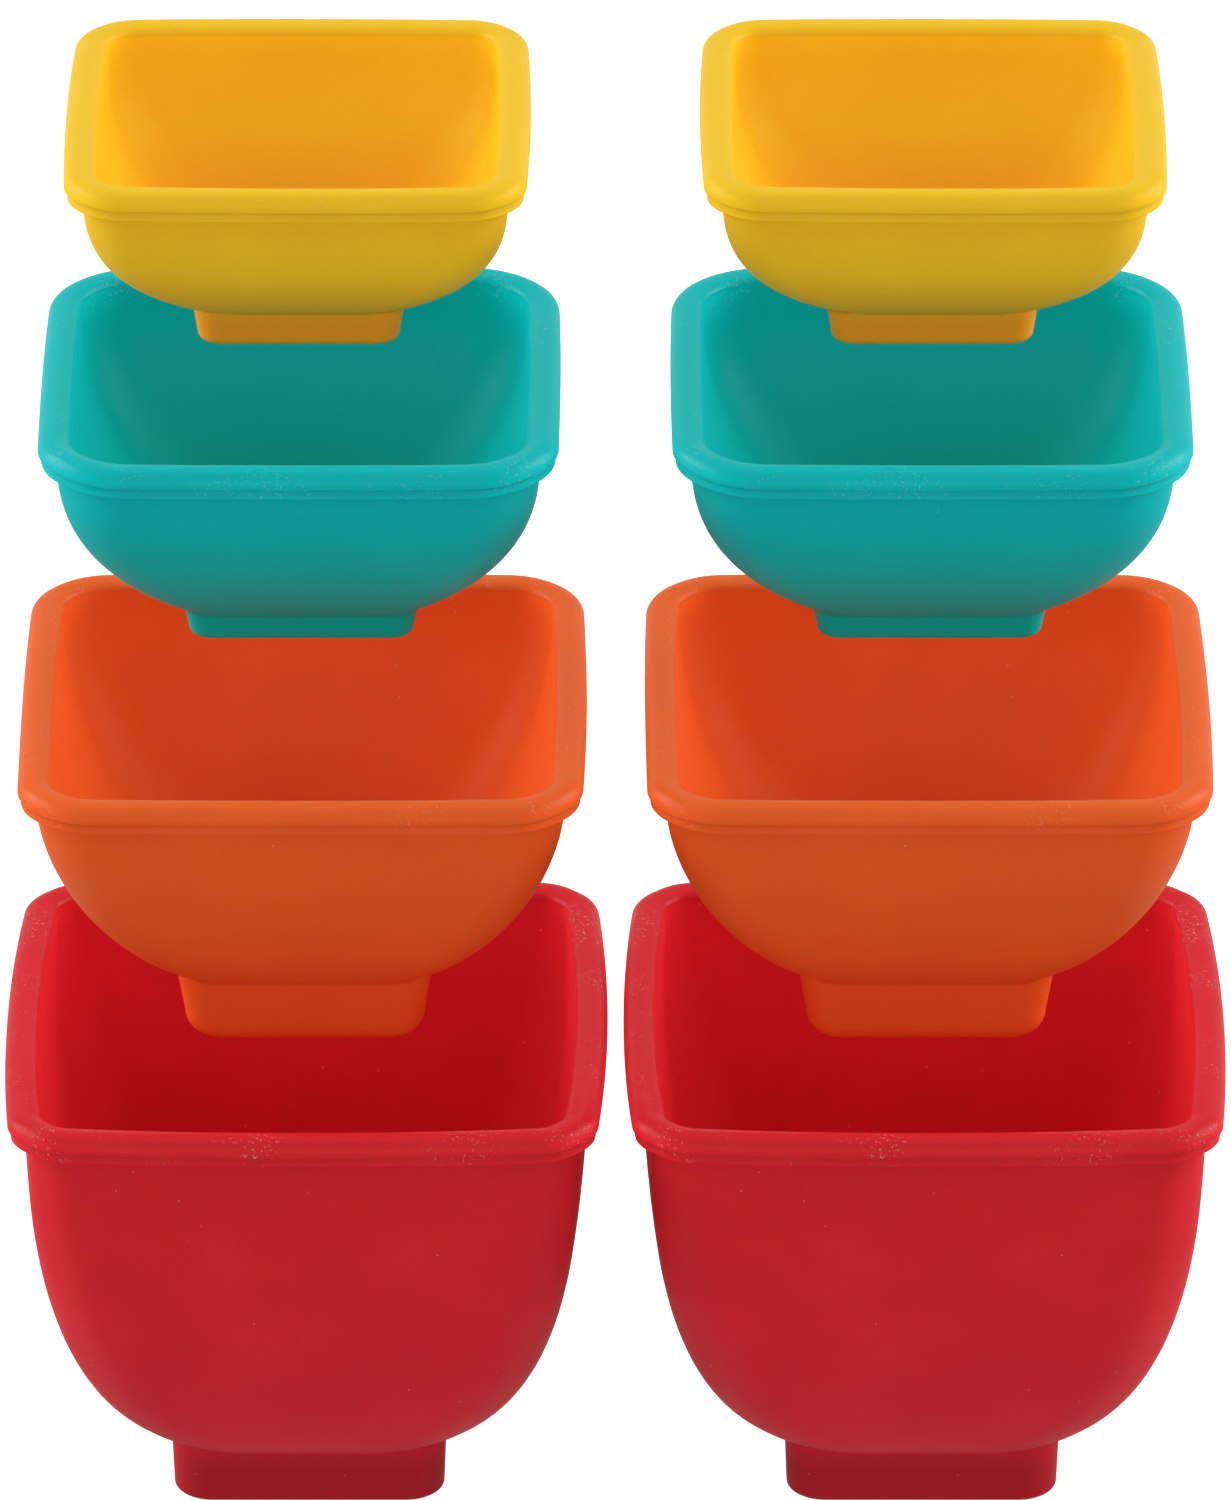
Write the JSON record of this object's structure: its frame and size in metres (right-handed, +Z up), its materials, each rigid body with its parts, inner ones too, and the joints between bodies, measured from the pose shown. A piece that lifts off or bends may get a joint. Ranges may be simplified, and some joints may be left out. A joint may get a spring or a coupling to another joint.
{
  "type": "stacking cup tower",
  "caption": "Side-by-side towers of square nesting silicone cups with a rolled rim, curved body and square foot, spread out along an upright axis and sliding down into one another.",
  "frame": {"origin": "on the table, midway between the two towers, at the bottom centre of the whole part", "axes": "+Z up along the towers, +X from the left tower to the right one, +Y away from the viewer"},
  "size_m": [0.1786, 0.0882, 0.2158],
  "materials": {
    "red_silicone": "satin moulded silicone",
    "orange_silicone": "satin moulded silicone",
    "teal_silicone": "satin moulded silicone",
    "yellow_silicone": "satin moulded silicone"
  },
  "bodies": {
    "red_left": {"red_cup_left": "red_silicone"},
    "orange_left": {"orange_cup_left": "orange_silicone"},
    "teal_left": {"teal_cup_left": "teal_silicone"},
    "yellow_left": {"yellow_cup_left": "yellow_silicone"},
    "red_right": {"red_cup_right": "red_silicone"},
    "orange_right": {"orange_cup_right": "orange_silicone"},
    "teal_right": {"teal_cup_right": "teal_silicone"},
    "yellow_right": {"yellow_cup_right": "yellow_silicone"}
  },
  "joints": [
    {"name": "orange_nests_left", "type": "slide", "parent": "red_left", "child": "orange_left", "axis": [0, 0, 1], "range_m": [-0.0472, 0.03]},
    {"name": "teal_nests_left", "type": "slide", "parent": "orange_left", "child": "teal_left", "axis": [0, 0, 1], "range_m": [-0.047, 0.03]},
    {"name": "yellow_nests_left", "type": "slide", "parent": "teal_left", "child": "yellow_left", "axis": [0, 0, 1], "range_m": [-0.0376, 0.03]},
    {"name": "orange_nests_right", "type": "slide", "parent": "red_right", "child": "orange_right", "axis": [0, 0, 1], "range_m": [-0.0472, 0.03]},
    {"name": "teal_nests_right", "type": "slide", "parent": "orange_right", "child": "teal_right", "axis": [0, 0, 1], "range_m": [-0.047, 0.03]},
    {"name": "yellow_nests_right", "type": "slide", "parent": "teal_right", "child": "yellow_right", "axis": [0, 0, 1], "range_m": [-0.0376, 0.03]},
    {"name": "right_tower_moves", "type": "slide", "parent": "red_left", "child": "red_right", "axis": [1, 0, 0], "range_m": [0, 0.12]}
  ]
}
